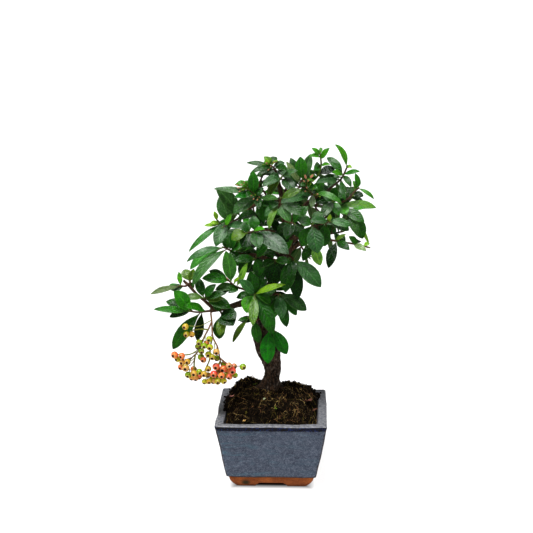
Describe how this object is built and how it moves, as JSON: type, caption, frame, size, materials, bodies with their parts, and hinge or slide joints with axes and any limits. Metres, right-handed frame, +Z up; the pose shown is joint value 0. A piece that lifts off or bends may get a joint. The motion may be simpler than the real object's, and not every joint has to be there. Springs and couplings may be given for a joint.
{
  "type": "firethorn bonsai in pot",
  "caption": "Small firethorn bonsai with a curved trunk, narrow leathery leaves and a hanging bunch of berries, growing in a square glazed pot on four low feet.",
  "frame": {"origin": "middle of the whole bonsai seen from above, on the surface that the pot's feet stand on", "axes": "+Z up the tree, -Y towards the front of the pot, +X to the right seen from the front"},
  "size_m": [0.2286, 0.1318, 0.3561],
  "materials": {
    "pot": "glossy grey-blue glaze over an unglazed terracotta foot",
    "soil": "dark fibrous peat",
    "bark": "rough dark bark",
    "leaf": "glossy leathery leaf",
    "berry": "waxy ripening berry"
  },
  "bodies": {
    "root": {"pot": "pot", "soil": "soil", "trunk": "bark", "spray_top_right": "leaf", "spray_top_upright": "leaf", "spray_top_olive": "leaf", "spray_bud_twig": "leaf", "spray_right_edge": "leaf", "spray_right_tip": "leaf", "spray_right_middle": "leaf", "spray_right_front": "leaf", "spray_right_round": "leaf", "spray_right_low_leaves": "leaf", "spray_right_low_twig": "leaf", "spray_right_long_leaves": "leaf", "spray_front_left_leaves": "leaf", "spray_front_middle_leaves": "leaf", "spray_front_heart": "leaf", "spray_crown_left_leaves": "leaf", "spray_top_left": "leaf", "spray_top_middle": "leaf", "spray_left_big": "leaf", "spray_left_tip": "leaf", "spray_left_long_leaves": "leaf", "spray_left_dark_leaves": "leaf", "spray_round_leaf_twig": "leaf", "spray_left_low_twig": "leaf", "spray_low_middle_leaves": "leaf", "spray_trunk_left_twig": "leaf", "spray_low_right_leaves": "leaf", "spray_trunk_front_leaves": "leaf", "spray_shoot_end": "leaf", "spray_shoot_side": "leaf", "spray_shoot_foot": "leaf", "spray_cascade_left": "leaf", "spray_cascade_foot": "leaf", "spray_back_middle_low": "leaf", "spray_back_middle_high": "leaf", "spray_back_left_end": "leaf", "spray_back_left_side": "leaf", "spray_back_left_low": "leaf", "spray_back_right_end": "leaf", "spray_back_right_side": "leaf", "spray_back_right_low": "leaf", "spray_back_top_end": "leaf", "spray_back_top_side": "leaf", "spray_inner_right": "leaf", "spray_inner_left": "leaf", "berry_bunch": "berry"}
  },
  "joints": []
}
